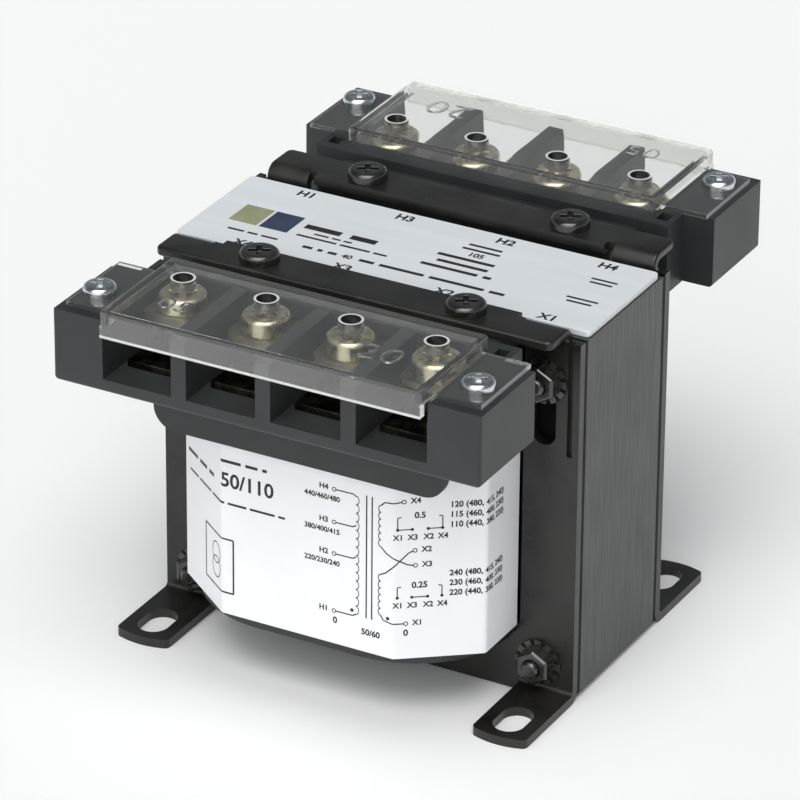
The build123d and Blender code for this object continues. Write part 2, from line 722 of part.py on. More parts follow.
with BuildPart() as front_cover:
    with BuildSketch(Plane.XY.offset(flange_top)):
        with Locations((0, -(cover_front + cover_back) / 2)):
            Rectangle(2 * cover_half, cover_front - cover_back)
    extrude(amount=cover_top - flange_top)
    fillet(edges().filter_by(Axis.Z), cover_round)
    fillet(faces().sort_by(Axis.Z)[-1].edges(), cover_round)
    with BuildSketch(Plane.XZ.offset(cover_wall_back)):
        with Locations((0, (cover_front_low + flange_top) / 2)):
            Rectangle(2 * cover_half, flange_top - cover_front_low)
    extrude(amount=cover_front - cover_wall_back)
    with BuildSketch(Plane.XY.offset(flange_top)):
        with Locations((0, -(cover_wall_back + cover_back + cover_wall) / 2)):
            Rectangle(2 * (cover_half - cover_wall), cover_wall_back - cover_back - cover_wall)
    extrude(amount=cover_top - flange_top - cover_wall, mode=Mode.SUBTRACT)
    tab_middle = (cover_tab_half + cover_half) / 2
    with BuildSketch(Plane.XY.offset(flange_top)):
        with Locations(*[(side * tab_middle, -(cover_tab_front + cover_tab_back) / 2) for side in (-1, 1)]):
            Rectangle(cover_tab_half - cover_half, cover_tab_front - cover_tab_back)
        with Locations((-cover_screw_x, -cover_screw_y), (cover_screw_x, -cover_screw_y)):
            Circle(cover_screw_diameter / 2 + cover_hole_clearance, mode=Mode.SUBTRACT)
    extrude(amount=cover_tab_thickness)
    with BuildSketch(Plane.XY.offset(cover_top - cover_wall - access_sleeve)):
        with Locations(*[(x, -terminal_y) for x in terminal_xs]):
            Circle(access_ring / 2)
    extrude(amount=access_sleeve + cover_wall + access_rim)
    with BuildSketch(Plane.XY.offset(cover_top + access_rim)):
        with Locations(*[(x, -terminal_y) for x in terminal_xs]):
            Circle(access_hole / 2)
    extrude(amount=-(access_sleeve + cover_wall + access_rim), mode=Mode.SUBTRACT)
save(front_cover, "front_cover")
save_rear(front_cover, "rear_cover")

# Lead wires from the windings to the bars' tails


def lead_wires(side, rise_y):
    # side is -1 for the front block and 1 for the rear one
    for x in terminal_xs:
        start = (x * lead_share, side * rise_y, coil_high - layer_gap)
        turn_y = side * (tail_back - lead_straight)
        with BuildLine() as route:
            FilletPolyline(start, (start[0], start[1], lead_height), (x, turn_y, lead_height),
                           (x, side * tail_back, lead_height), radius=lead_bend)
        with BuildSketch(Plane(origin=start, z_dir=(0, 0, 1))) as section:
            Circle(lead_diameter / 2)
        sweep(section.sketch, path=route.wire())


with BuildPart() as secondary_leads:
    lead_wires(-1, secondary_lead_y)
save(secondary_leads, "secondary_leads")

with BuildPart() as primary_leads:
    lead_wires(1, primary_lead_y)
save(primary_leads, "primary_leads")
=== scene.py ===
# %% [markdown]
# # Control transformer
# On the real object a stack of steel sheets is held between two pressed black frames. The coil is
# closed in by two shrouds with wrapped white labels, and a screw-terminal block with a clear cover
# lies along the front and the rear. The CAD part is loaded as a fixed frame, and every piece below
# rides on it. What CAD leaves out is added here: worn edges, finishes and print.

# %% Load the frame
import json
import math

import bmesh
import bpy
from mathutils import Matrix, Vector

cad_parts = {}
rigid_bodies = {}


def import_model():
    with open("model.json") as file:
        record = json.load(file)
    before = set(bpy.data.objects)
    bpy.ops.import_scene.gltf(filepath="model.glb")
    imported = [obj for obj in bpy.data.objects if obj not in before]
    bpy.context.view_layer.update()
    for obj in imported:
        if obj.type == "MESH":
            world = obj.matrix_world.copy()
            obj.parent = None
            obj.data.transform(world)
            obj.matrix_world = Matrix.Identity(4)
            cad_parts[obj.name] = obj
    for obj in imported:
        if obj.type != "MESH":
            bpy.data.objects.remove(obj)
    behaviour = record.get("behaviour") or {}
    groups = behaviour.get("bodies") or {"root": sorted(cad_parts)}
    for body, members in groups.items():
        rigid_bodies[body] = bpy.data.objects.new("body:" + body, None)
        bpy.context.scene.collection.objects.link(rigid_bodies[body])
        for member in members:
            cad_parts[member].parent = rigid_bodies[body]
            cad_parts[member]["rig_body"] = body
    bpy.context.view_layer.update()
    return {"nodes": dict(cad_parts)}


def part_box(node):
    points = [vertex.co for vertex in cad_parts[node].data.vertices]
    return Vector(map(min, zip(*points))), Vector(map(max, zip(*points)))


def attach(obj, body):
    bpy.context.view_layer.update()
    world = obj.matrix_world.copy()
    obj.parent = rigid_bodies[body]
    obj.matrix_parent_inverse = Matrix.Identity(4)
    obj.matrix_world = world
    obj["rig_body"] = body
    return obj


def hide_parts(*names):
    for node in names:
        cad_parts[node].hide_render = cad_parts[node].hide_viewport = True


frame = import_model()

MM = 0.001

# %% [markdown]
# ## Building a finish
# A finish is a material made of nodes. They could be wired by hand in the Shader Editor, but a
# script is easier to read again and to change. One function turns a sRGB hex colour into the linear
# values that Cycles works with, one adds a node with its settings and links, and one starts a
# material. Patterns read Object coordinates, which are metres here, so a pattern's scale is one
# over its real size.

# %% Colours and nodes
def linear(code):
    """A hex colour as linear red, green, blue and alpha."""
    parts = [int(code[i:i + 2], 16) / 255 for i in (1, 3, 5)]
    return [v / 12.92 if v <= 0.04045 else ((v + 0.055) / 1.055) ** 2.4 for v in parts] + [1.0]


def add(finish, kind, sockets=None, **settings):
    """Adds a node. A socket gets a constant, or a link where its value is another node's output."""
    made = finish.node_tree.nodes.new("ShaderNode" + kind)
    for key, value in settings.items():
        setattr(made, key, value)
    for key, value in (sockets or {}).items():
        if isinstance(value, bpy.types.NodeSocket):
            finish.node_tree.links.new(value, made.inputs[key])
        else:
            made.inputs[key].default_value = value
    return made


def wire(finish, surface, outputs):
    """Links outputs to the shader, given by the names of its sockets."""
    for socket, output in outputs.items():
        finish.node_tree.links.new(output, surface.inputs[socket])


print("white is", linear("#ffffff"), "and mid grey", linear("#808080"))

# %% Sizes of patterns
BAND_SCALE = math.tau / 20  # a Wave texture has 20 / tau bands for each unit of its scale


def per_metre(size):
    """How often a pattern of that size in millimetres repeats in a metre."""
    return 1 / (size * MM)


def waves(size):
    """The scale that gives a Wave texture bands of that size in millimetres."""
    return per_metre(size) * BAND_SCALE


print("bands of 0.5 mm need a scale of", round(waves(0.5), 1))

# %% Start a finish, and an even one with patches and grain
NOISE_LOW, NOISE_HIGH = 0.35, 0.65  # most values of a Noise texture lie between these two


def new_finish(name, sockets):
    """A material with one Principled shader, and the place on the piece that its patterns read."""
    finish = bpy.data.materials.new(name)
    finish.use_nodes = True
    finish.node_tree.nodes.clear()
    surface = add(finish, "BsdfPrincipled", sockets)
    add(finish, "OutputMaterial", {"Surface": surface.outputs[0]})
    return finish, surface, add(finish, "TexCoord").outputs["Object"]


def even_finish(name, tones, shine, patch, grain, depth, stretch=(1, 1, 1), **sockets):
    """Two tones and two roughnesses in soft patches, over a fine grain. Sizes are in millimetres."""
    constants = {key.replace("_", " "): value for key, value in sockets.items()}
    finish, surface, place = new_finish(name, constants)
    laid = add(finish, "Mapping", {"Vector": place, "Scale": stretch}).outputs[0]
    patches = add(finish, "TexNoise", {"Vector": laid, "Scale": per_metre(patch), "Detail": 4.0})
    spread = add(finish, "MapRange", {"Value": patches.outputs[0], "From Min": NOISE_LOW,
                                      "From Max": NOISE_HIGH}).outputs[0]
    tone = add(finish, "Mix", {0: spread, 6: linear(tones[0]), 7: linear(tones[1])}, data_type="RGBA")
    rough = add(finish, "MapRange", {"Value": spread, "To Min": shine[0], "To Max": shine[1]})
    grains = add(finish, "TexNoise", {"Vector": laid, "Scale": per_metre(grain), "Detail": 2.0})
    relief = add(finish, "Bump", {"Height": grains.outputs[0], "Distance": depth * MM})
    wire(finish, surface, {"Base Color": tone.outputs[2], "Roughness": rough.outputs[0],
                           "Normal": relief.outputs[0]})
    print(name, "from", tones[0], "to", tones[1], "with a grain of", grain, "mm")
    return finish


# %% [markdown]
# ## Edges that catch the light
# Punched, bent and moulded pieces have no knife edges: a fine round shows as a thin bright line.
# The rounds could be part of the CAD solid, but so fine they belong to the look. The CAD mesh is
# loose triangles, so a copy of it is merged and its flat faces are joined. Then a Bevel modifier
# rounds each edge by a width given in millimetres. The copy stands for the CAD node and rides on
# the same body.

# %% A copy with rounded edges, and a CAD node that only gets a finish
MERGE = 0.002  # points this close, in millimetres, are one
FLAT_ANGLE = 0.5  # faces that turn by less than these degrees are joined
EDGE_ANGLE = 30  # edges sharper than these degrees are rounded


def rounded(node, finish, edge, edge_finish=-1):
    """A copy of a CAD node with its edges rounded, which stands for the node."""
    source = frame["nodes"][node]
    shape = bmesh.new()
    shape.from_mesh(source.data)
    bmesh.ops.remove_doubles(shape, verts=shape.verts, dist=MERGE * MM)
    bmesh.ops.dissolve_limit(shape, angle_limit=math.radians(FLAT_ANGLE), verts=shape.verts,
                             edges=shape.edges)
    mesh = bpy.data.meshes.new(node + "_shaped")
    shape.to_mesh(mesh)
    shape.free()
    kept_normals = mesh.attributes.get("custom_normal")
    if kept_normals:
        mesh.attributes.remove(kept_normals)
    mesh.shade_smooth()
    mesh.materials.append(finish)
    piece = bpy.data.objects.new(node + "_shaped", mesh)
    bpy.context.scene.collection.objects.link(piece)
    if edge:
        bevel = piece.modifiers.new("edge round", "BEVEL")
        bevel.material = edge_finish
        bevel.width = edge * MM
        bevel.segments = 2
        bevel.limit_method = "ANGLE"
        bevel.angle_limit = math.radians(EDGE_ANGLE)
        bevel.harden_normals = True
    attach(piece, source["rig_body"])
    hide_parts(node)
    print(node, "has", len(mesh.polygons), "faces, and its edges are rounded by", edge, "mm")
    return piece


def finished(node, finish):
    """A CAD node whose shape is right as it is gets its finish."""
    mesh = frame["nodes"][node].data
    mesh.materials.clear()
    mesh.materials.append(finish)
    print(node, "is finished with", finish.name)


print(len(frame["nodes"]), "CAD nodes wait for a finish")

# %% [markdown]
# ## Varnished core sheets
# Core sheets are silicon steel, punched and stacked, and the whole stack is dipped in varnish. The
# eye sees the cut edges as fine upright lines with streaks where the varnish ran. Each sheet could
# be modelled, but it is only half a millimetre thick, so the lines are a Wave texture of that width,
# and noise stretched along Z gives the streaks. Where the stack meets each frame, a near-black line
# that mirrors little is painted as shade, by the distance from the middle.

# %% Tone and shine of the varnish
SHEET = 0.5
STREAK = 0.55
RUN = 0.06  # heights are squeezed to this before the noise reads them, so its patches run upright
CLOUD = 9
# where the stack meets each frame, a near-black line with dimmed reflection is painted as shade
SHADE_LINE_AT = 13.1
SHADE_LINE_WIDTH = 0.3
core_varnish, surface, place = new_finish("varnished_silicon_steel", {"IOR": 1.5})
runs = add(core_varnish, "Mapping", {"Vector": place, "Scale": (1, 1, RUN)}).outputs[0]
streaks = add(core_varnish, "TexNoise", {"Vector": runs, "Scale": per_metre(STREAK),
                                         "Detail": 3.0}).outputs[0]
clouds = add(core_varnish, "TexNoise", {"Vector": place, "Scale": per_metre(CLOUD),
                                        "Detail": 4.0}).outputs[0]
both = add(core_varnish, "Mix", {0: 0.45, 2: streaks, 3: clouds}).outputs[0]
streaked = add(core_varnish, "MapRange", {"Value": both, "From Min": 0.36, "From Max": 0.62})
tone = add(core_varnish, "Mix", {0: streaked.outputs[0], 6: linear("#282a29"), 7: linear("#464847")},
           data_type="RGBA")
shine = add(core_varnish, "MapRange", {"Value": clouds, "From Min": 0.3, "From Max": 0.7,
                                       "To Min": 0.3, "To Max": 0.48})
print("streaks of", STREAK, "mm run down over clouds of", CLOUD, "mm")

# %% Painted shade line at the frames, and sheet lines
across = add(core_varnish, "SeparateXYZ", {"Vector": place}).outputs["Y"]
from_middle = add(core_varnish, "Math", {0: across}, operation="ABSOLUTE").outputs[0]
in_shade_line = add(core_varnish, "MapRange", {"Value": from_middle, "From Min": SHADE_LINE_AT * MM,
                                          "From Max": (SHADE_LINE_AT + SHADE_LINE_WIDTH) * MM}).outputs[0]
# painted shade: the line is near black, and the mirror below is dimmed there too
tone = add(core_varnish, "Mix", {0: in_shade_line, 6: tone.outputs[2], 7: linear("#060606")},
           data_type="RGBA")
mirror = add(core_varnish, "MapRange", {"Value": in_shade_line, "To Min": 0.5, "To Max": 0.05})
sheets = add(core_varnish, "TexWave", {"Vector": place, "Scale": waves(SHEET), "Distortion": 0.3},
             bands_direction="Y", wave_profile="SIN").outputs[1]
lines = add(core_varnish, "Bump", {"Height": sheets, "Distance": 0.015 * MM, "Strength": 0.5})
dents = add(core_varnish, "Bump", {"Height": streaks, "Distance": 0.03 * MM,
                                   "Normal": lines.outputs[0]})
wire(core_varnish, surface, {"Base Color": tone.outputs[2], "Roughness": shine.outputs[0],
                             "Specular IOR Level": mirror.outputs[0], "Normal": dents.outputs[0]})
# the printed band is the painted shade line at the frames
print("the dark joint starts", SHADE_LINE_AT, "mm from the middle and is", SHADE_LINE_WIDTH, "mm wide")

# %% [markdown]
# ## The core's sides
# Varnish that ran down the sides fills the lines between the sheets nearly level. The CAD solid has
# these lines as shallow grooves. A second skin could lie over them, but it is simpler to move the
# points at the bottom of the grooves out until the varnish leaves only a trace of them.

# %% Core
LINE_DEPTH = 0.06  # points nearer than this to a side, and not on it, are in a groove
FILLED_DEPTH = 0.004
core_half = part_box("e_laminations")[1].x
for node in ("e_laminations", "i_laminations"):
    core = rounded(node, core_varnish, 0)
    core.data.shade_flat()
    in_line = [v for v in core.data.vertices if 0 < core_half - abs(v.co.x) < LINE_DEPTH * MM]
    for v in in_line:
        v.co.x = math.copysign(core_half - FILLED_DEPTH * MM, v.co.x)
    print(node, "has", len(in_line), "points in the lines of its sides")

# %% [markdown]
# ## Black steel frames
# The frames are mild steel strip, punched, bent and coated in satin black enamel. The enamel
# reads as nearly black with a soft shine, a slight orange peel and faint smudges. A plain black
# would look like a hole in the picture, so two close tones and two roughnesses share the surface.

# %% Frames
black_steel = even_finish("satin_black_enamel", ("#1b1a19", "#252422"), (0.26, 0.38), 7, 0.9, 0.012,
                          IOR=1.5)
for node in ("front_clamp_frame", "rear_clamp_frame"):
    rounded(node, black_steel, 0.3)

# %% [markdown]
# ## Moulded terminal blocks
# The blocks are moulded from a dark filled thermoplastic. The mould's spark-eroded walls leave a
# fine even grain, so the surface is dark grey with a dull shine. The grain could be an image, but
# fine noise in the bump has no seams and no direction, as on the real wall.

# %% Blocks
black_moulding = even_finish("moulded_black_thermoplastic", ("#272829", "#2e2f30"), (0.42, 0.5), 12,
                             0.3, 0.02, IOR=1.5)
for node in ("front_terminal_block", "rear_terminal_block"):
    rounded(node, black_moulding, 0.2)

# %% [markdown]
# ## Coil shrouds
# The shrouds are thin smooth mouldings in black nylon. Only their lower lip shows under the label,
# so they get a plain satin finish, a little shinier than the blocks, which sets the lip off.

# %% Shrouds
black_shroud = even_finish("moulded_black_nylon", ("#1d1d1e", "#272728"), (0.34, 0.44), 9, 0.5, 0.01,
                           IOR=1.53)
for node in ("front_coil_shroud", "rear_coil_shroud"):
    rounded(node, black_shroud, 0.25)

# %% [markdown]
# ## Label film
# The wrap is white polyester film, glued round the shroud. It could be a painted area of the
# shroud, but a film of its own has a cut edge that shows. It is slightly glossy, with a faint
# unevenness from the glue, so it gets a very low bump and almost no change of tone.

# %% Labels
white_label = even_finish("white_polyester_film", ("#eeeef1", "#f2f2f4"), (0.34, 0.42), 14, 3, 0.006,
                          IOR=1.5)
for node in ("front_coil_label", "rear_coil_label"):
    rounded(node, white_label, 0.04)

# %% [markdown]
# ## Nameplate
# The plate on the core is pale lacquered aluminium. The lacquer is smooth and hides the metal's
# mirror, so the shader isn't metallic. Rolling has left fine lines along the plate's length, and
# noise stretched along X gives them without an image.

# %% Plate
printed_plate = even_finish("lacquered_aluminium_plate", ("#dadee1", "#dfe3e6"), (0.32, 0.4), 3.5, 0.4,
                            0.002, stretch=(0.1, 1, 1), IOR=1.5)
rounded("nameplate", printed_plate, 0.15)

# %% [markdown]
# ## Blackened and zinc fasteners
# Bolts, nuts, toothed washers and the block's screws are blackened steel: oxide under a film of
# oil. It could be a dark metal, but the eye sees oil over black, so it is a black with a high IOR
# that mirrors the room. The cover's screws are bright zinc, a true metal with fine spangle.

# %% Fasteners
black_fasteners = even_finish("blackened_steel", ("#181716", "#262523"), (0.14, 0.28), 2, 0.25, 0.006,
                              IOR=1.8)
for node in ("core_bolts", "hex_nuts", "block_screws"):
    rounded(node, black_fasteners, 0.18)
finished("star_washers", black_fasteners)
zinc_screws = even_finish("bright_zinc_plate", ("#c9cfd2", "#e6eaec"), (0.16, 0.3), 1.2, 0.2, 0.01,
                          Metallic=1.0)
rounded("cover_screws", zinc_screws, 0.15)

# %% [markdown]
# ## Terminals
# Each terminal has a screw, a clamping plate and a bar. The screws have a warm, slightly yellow
# passivated plating. The plates under them are the same plating, gone dull, and painted darker as
# shade under the screw heads. The bars deep in the wire entries are nickel painted dark as the shade
# of the entries, where little light gets to them. One metal could serve for all three, but their
# tones are what tells the pieces apart under the clear lid.

# %% Screws, plates and bars
MARKS = ("x1", "x2", "x3", "x4", "h1", "h2", "h3", "h4")
plated_screws = even_finish("yellow_passivated_zinc", ("#c9c0a0", "#e3dcc4"), (0.22, 0.36), 1.5, 0.2,
                            0.01, Metallic=1.0)
# the plates' tone is lowered as painted shade under the screw heads
dull_shaded_clamps = even_finish("passivated_plate_painted_shade", ("#77735f", "#979280"), (0.3, 0.44), 2, 0.3,
                            0.012, Metallic=1.0)
# the bars' dark tone is painted shade for the deep wire entries
shaded_contacts = even_finish("painted_shade_nickel_plate", ("#2b2a27", "#4a4843"), (0.2, 0.34), 2.5, 0.3,
                              0.02, Metallic=1.0)
for mark in MARKS:
    rounded("terminal_screw_" + mark, plated_screws, 0.18)
    rounded("clamp_plate_" + mark, dull_shaded_clamps, 0.15)
for node in ("front_contact_bars", "rear_contact_bars"):
    rounded(node, shaded_contacts, 0.12)

# %% [markdown]
# ## Inside the coil
# The shrouds hide nearly all of the coil, but it shows when the part is opened or cut, so each
# piece has the finish of its own material: a natural nylon bobbin, yellow tape, brown paper, leads
# in red sleeves, and copper wire whose enamel deepens its colour. The turns could be a helix of
# wire. They are a Wave texture along Z instead, as wide as the wire.

# %% Bobbin, tape, insulation and leads
bobbin_nylon = even_finish("natural_glass_filled_nylon", ("#d9d3c0", "#e6e1d2"), (0.4, 0.5), 5, 0.4,
                           0.02, IOR=1.53)
outer_tape = even_finish("yellow_polyester_tape", ("#d8b24a", "#e4c368"), (0.25, 0.35), 6, 1.5, 0.03,
                         stretch=(1, 1, 0.3), IOR=1.6)
insulation_film = even_finish("insulating_paper", ("#b9a883", "#c9ba98"), (0.6, 0.75), 4, 0.3, 0.03,
                              IOR=1.5)
lead_wire = even_finish("tinned_copper_in_sleeve", ("#8f2f26", "#a23a30"), (0.35, 0.45), 4, 0.5, 0.02,
                        IOR=1.5)
for node, finish in (("bobbin", bobbin_nylon), ("winding_insulation", insulation_film),
                     ("outer_tape", outer_tape), ("primary_leads", lead_wire),
                     ("secondary_leads", lead_wire)):
    finished(node, finish)

# %% Windings
WIRE = 0.5
enamelled_wire, surface, place = new_finish("enamelled_copper_wire", {"Metallic": 1.0, "Roughness": 0.3})
turns = add(enamelled_wire, "TexWave", {"Vector": place, "Scale": waves(WIRE), "Distortion": 0.2},
            bands_direction="Z", wave_profile="SIN").outputs[1]
tone = add(enamelled_wire, "Mix", {0: turns, 6: linear("#7a3d1f"), 7: linear("#c0703f")},
           data_type="RGBA")
wires = add(enamelled_wire, "Bump", {"Height": turns, "Distance": 0.12 * MM})
wire(enamelled_wire, surface, {"Base Color": tone.outputs[2], "Normal": wires.outputs[0]})
for node in ("primary_winding", "secondary_winding"):
    finished(node, enamelled_wire)

# %% [markdown]
# ## Clear covers
# The covers are moulded in clear polycarbonate. Principled transmission bends the view as the real
# walls do. A ray that goes to a lamp meets a Transparent shader instead, by Light Path, so the
# lamps reach the terminals below as they do through a thin clear wall. One plastic could serve for
# all of the cover, but the eye tells its parts by how they gather light, so it comes five times:
# clear for the lid, hazier for its upright walls and screw tabs, whitish for the rounded edges and
# the tabs' ends as a painted highlight, nearly white for the rims of the lip and the access rings as
# a painted highlight, and dark for the bores as painted shade. The Bevel modifier gives its new
# faces the edge's painted highlight.

# %% Five kinds of the plastic
def plastic(name, through, shine, tones, ripple, to_lamps):
    """Polycarbonate: how much light goes straight through, its roughness, tones and ripples."""
    finish, surface, place = new_finish(name, {"IOR": 1.49, "Transmission Weight": through,
                                               "Roughness": shine})
    ripples = add(finish, "TexNoise", {"Vector": place, "Scale": per_metre(ripple), "Detail": 2.0})
    relief = add(finish, "Bump", {"Height": ripples.outputs[0], "Distance": 0.02 * MM})
    tint = add(finish, "Mix", {0: ripples.outputs[0], 6: linear(tones[0]), 7: linear(tones[1])},
               data_type="RGBA")
    wire(finish, surface, {"Normal": relief.outputs[0], "Base Color": tint.outputs[2]})
    passing = add(finish, "BsdfTransparent", {"Color": linear(to_lamps)}).outputs[0]
    shadow_ray = add(finish, "LightPath").outputs["Is Shadow Ray"]
    either = add(finish, "MixShader", {0: shadow_ray, 1: surface.outputs[0], 2: passing})
    out = next(n for n in finish.node_tree.nodes if n.type == "OUTPUT_MATERIAL")
    wire(finish, out, {"Surface": either.outputs[0]})
    print(name, "lets", through, "of the light through")
    return finish


clear_plastic = plastic("moulded_clear_polycarbonate", 0.985, 0.04, ("#f4f5f4", "#fafaf8"), 6, "#eeeeec")
hazy_plastic = plastic("hazy_polycarbonate_wall", 0.94, 0.08, ("#f0f1f0", "#f8f8f6"), 4, "#e4e4e2")
# the rim, bore and edge plastics paint light: a highlight on the rims, edges and tab ends, and shade in
# the bores
rim_highlight_plastic = plastic("painted_highlight_polycarbonate_rim", 0.3, 0.35, ("#eceeed", "#fafbfa"), 0.8, "#c8c8c6")
shaded_bore_plastic = plastic("painted_shade_polycarbonate_bore", 0.5, 0.3, ("#161615", "#2a2a28"), 1.5, "#c8c8c6")
edge_highlight_plastic = plastic("painted_highlight_polycarbonate_edge", 0.5, 0.22, ("#f2f4f3", "#fcfdfc"), 2, "#d8d8d6")

# %% Covers
# slots 2 and 3 carry a painted highlight, slot 4 painted shade
HAZY, HIGHLIGHT_RIM, HIGHLIGHT_EDGE, SHADED_BORE = 1, 2, 3, 4  # the cover's slots after the clear one
LID_HALF = 28.7  # half the lid's length between the screw tabs
BORE_HALF = 1.8  # a bore's radius, with a little room
RIM = 0.1  # faces this near the cover's top, bottom or ends belong to a rim or an end
UPRIGHT = 0.5  # a wall's normal rises by less than this
bore_places = [sum(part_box("terminal_screw_" + mark), Vector()) / (2 * MM) for mark in MARKS]
for node in ("front_cover", "rear_cover"):
    cover = rounded(node, clear_plastic, 0.32, edge_finish=HIGHLIGHT_EDGE)
    for finish in (hazy_plastic, rim_highlight_plastic, edge_highlight_plastic, shaded_bore_plastic):
        cover.data.materials.append(finish)
    cover_low, cover_high = [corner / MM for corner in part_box(node)]
    for face in cover.data.polygons:
        middle, upright = face.center / MM, abs(face.normal.z) < UPRIGHT
        in_bore = upright and min((middle - place).xy.length for place in bore_places) < BORE_HALF
        at_rim = max(middle.z - cover_high.z, cover_low.z - middle.z) > -RIM
        at_end = abs(middle.x) > cover_high.x - RIM
        hazy = HAZY if upright or abs(middle.x) > LID_HALF else 0
        face.material_index = SHADED_BORE if in_bore else HIGHLIGHT_RIM if at_rim else HIGHLIGHT_EDGE if at_end else hazy
    highlighted = sum(face.material_index == HIGHLIGHT_RIM for face in cover.data.polygons)
    print(node, "has", highlighted, "scuffed faces")

# %% [markdown]
# ## Ink
# The print is black screen ink, a layer thinner than a hair. It could be painted in the label's
# material, but thin pieces of ink keep sharp edges at every distance. Each sheet of print is drawn
# flat from strokes, dots, arcs and numerals, and is then laid on its surface.

# %% Inks and strokes
black_ink = even_finish("black_screen_ink", ("#19191b", "#242426"), (0.4, 0.5), 3, 0.2, 0.003, IOR=1.5)
olive_ink = even_finish("olive_screen_ink", ("#8e9170", "#9a9d7c"), (0.4, 0.5), 3, 0.2, 0.003, IOR=1.5)
navy_ink = even_finish("navy_screen_ink", ("#2a3546", "#34415a"), (0.4, 0.5), 3, 0.2, 0.003, IOR=1.5)
STROKE = 0.22


def at(x, y, turn=0.0, wide=1.0, high=1.0):
    """Where a mark goes on the flat sheet, in millimetres, how it is turned and how large it is."""
    turned = Matrix.Rotation(turn, 4, "Z")
    return Matrix.Translation((x, y, 0)) @ turned @ Matrix.Diagonal((wide, high, 1, 1))


def field(sheet, x, y, wide, high, turn=0.0):
    """A plain rectangle of ink round a place."""
    bmesh.ops.create_grid(sheet, x_segments=1, y_segments=1, size=0.5,
                          matrix=at(x, y, turn, wide, high))


def stroke(sheet, start, end, width=STROKE):
    """A straight line of ink between two points."""
    run = Vector(end) - Vector(start)
    field(sheet, *(Vector(start) + Vector(end)) / 2, run.length, width, math.atan2(run.y, run.x))


def line_through(sheet, *points, width=STROKE):
    """Strokes from point to point."""
    for start, end in zip(points, points[1:]):
        stroke(sheet, start, end, width)


# %% Dots, arcs and rings
def dot(sheet, place, radius=0.32):
    """A filled round of ink."""
    bmesh.ops.create_circle(sheet, cap_ends=True, radius=radius, segments=14, matrix=at(*place))


def arc(sheet, place, radius, start, sweep, width, flat, steps):
    """A curved line of ink: a short edge is spun round the centre, and may be flattened along x."""
    tip = bmesh.new()
    ends = [tip.verts.new((radius + side * width / 2, 0, 0)) for side in (-1, 1)]
    bmesh.ops.rotate(tip, verts=ends, cent=(0, 0, 0), matrix=Matrix.Rotation(start, 3, "Z"))
    bmesh.ops.spin(tip, geom=[*ends, tip.edges.new(ends)], cent=(0, 0, 0), axis=(0, 0, 1),
                   angle=sweep, steps=steps, use_merge=sweep == math.tau)
    bmesh.ops.transform(tip, verts=tip.verts, matrix=at(*place, 0, flat))
    bmesh.ops.recalc_face_normals(tip, faces=tip.faces)
    drawn = bpy.data.meshes.new("drawn")
    tip.to_mesh(drawn)
    tip.free()
    sheet.from_mesh(drawn)
    bpy.data.meshes.remove(drawn)


def ring(sheet, place, radius=0.33, width=0.16, flat=1.0, steps=12):
    """A full round line of ink."""
    arc(sheet, place, radius, 0, math.tau, width, flat, steps)


# %% Numerals, and bars that stand for words
SIZE_PER_HEIGHT = 1.42  # the font's size over the height of its numerals
LETTER = 0.72  # a letter's width over the height of the line
WORD_GAP = 0.8
WORDS = (5, 3, 7, 4)  # how many letters the words of a plain line have


def numerals(sheet, written, place, height, weight=0.045, wide=1.0):
    """Plain numbers and terminal marks, centred on a place, made a mesh before they are placed."""
    curve = bpy.data.curves.new("numerals", "FONT")
    curve.body = written
    curve.size = height * SIZE_PER_HEIGHT
    curve.offset = weight * height
    curve.align_x, curve.align_y = "CENTER", "CENTER"
    writer = bpy.data.objects.new("numerals", curve)
    bpy.context.scene.collection.objects.link(writer)
    drawn = bpy.data.meshes.new_from_object(writer)
    drawn.transform(at(*place, 0, wide))
    sheet.from_mesh(drawn)
    bpy.data.objects.remove(writer)
    bpy.data.curves.remove(curve)
    bpy.data.meshes.remove(drawn)


def bars(sheet, start, end, height, rhythm=WORDS, share=0.5):
    """A line of print as short bars with gaps between them, one bar for each word."""
    run = Vector(end) - Vector(start)
    letter, x, i = LETTER * height, 0.0, 0
    while run.length - x > letter:
        long = min(rhythm[i % len(rhythm)] * letter, run.length - x)
        stroke(sheet, Vector(start) + run.normalized() * x,
               Vector(start) + run.normalized() * (x + long), share * height)
        x += long + WORD_GAP * height
        i += 1


print("numerals 1 mm high are written at a font size of", SIZE_PER_HEIGHT)

# %% [markdown]
# ## The wrap's path
# The label goes round a front with a facet at each corner. The print could be bent round it with a
# modifier, but a worked-out path keeps every distance true. The label's plan is a line of six
# points whose middle corners are bevelled to the fold's radius, as on the CAD solid. A point of the
# flat sheet is laid on it by how far along that line it lies.

# %% Corners and folds of the plan
FACET = Vector((12.0, 9.1))  # how far a facet reaches along the front and along the side
FOLD = 1.2
NEAR = 0.001  # a point this near to a corner is that corner
label_low, label_high = [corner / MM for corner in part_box("front_coil_label")]
side, front, back = label_high.x, label_low.y, label_high.y
corners = [(-side, back), (-side, front + FACET.y), (-side + FACET.x, front),
           (side - FACET.x, front), (side, front + FACET.y), (side, back)]
plan = bmesh.new()
points = [plan.verts.new((x, y, 0)) for x, y in corners]
for pair in zip(points, points[1:]):
    plan.edges.new(pair)
fold_angle = math.atan2(FACET.y, FACET.x)
bmesh.ops.bevel(plan, geom=points[2:4], affect="VERTICES", offset=FOLD * math.tan(fold_angle / 2),
                segments=4, profile=0.5, material=-1)
side_angle = math.pi / 2 - fold_angle
outer = [v for v in plan.verts
         if abs(abs(v.co.x) - side) < NEAR and abs(v.co.y - front - FACET.y) < NEAR]
bmesh.ops.bevel(plan, geom=outer, affect="VERTICES", offset=FOLD * math.tan(side_angle / 2),
                segments=5, profile=0.5, material=-1)
left_half = [Vector((v.co.x, v.co.y)) for v in plan.verts if v.co.x < 0]
path = sorted(left_half, key=lambda p: (-p.y, p.x))
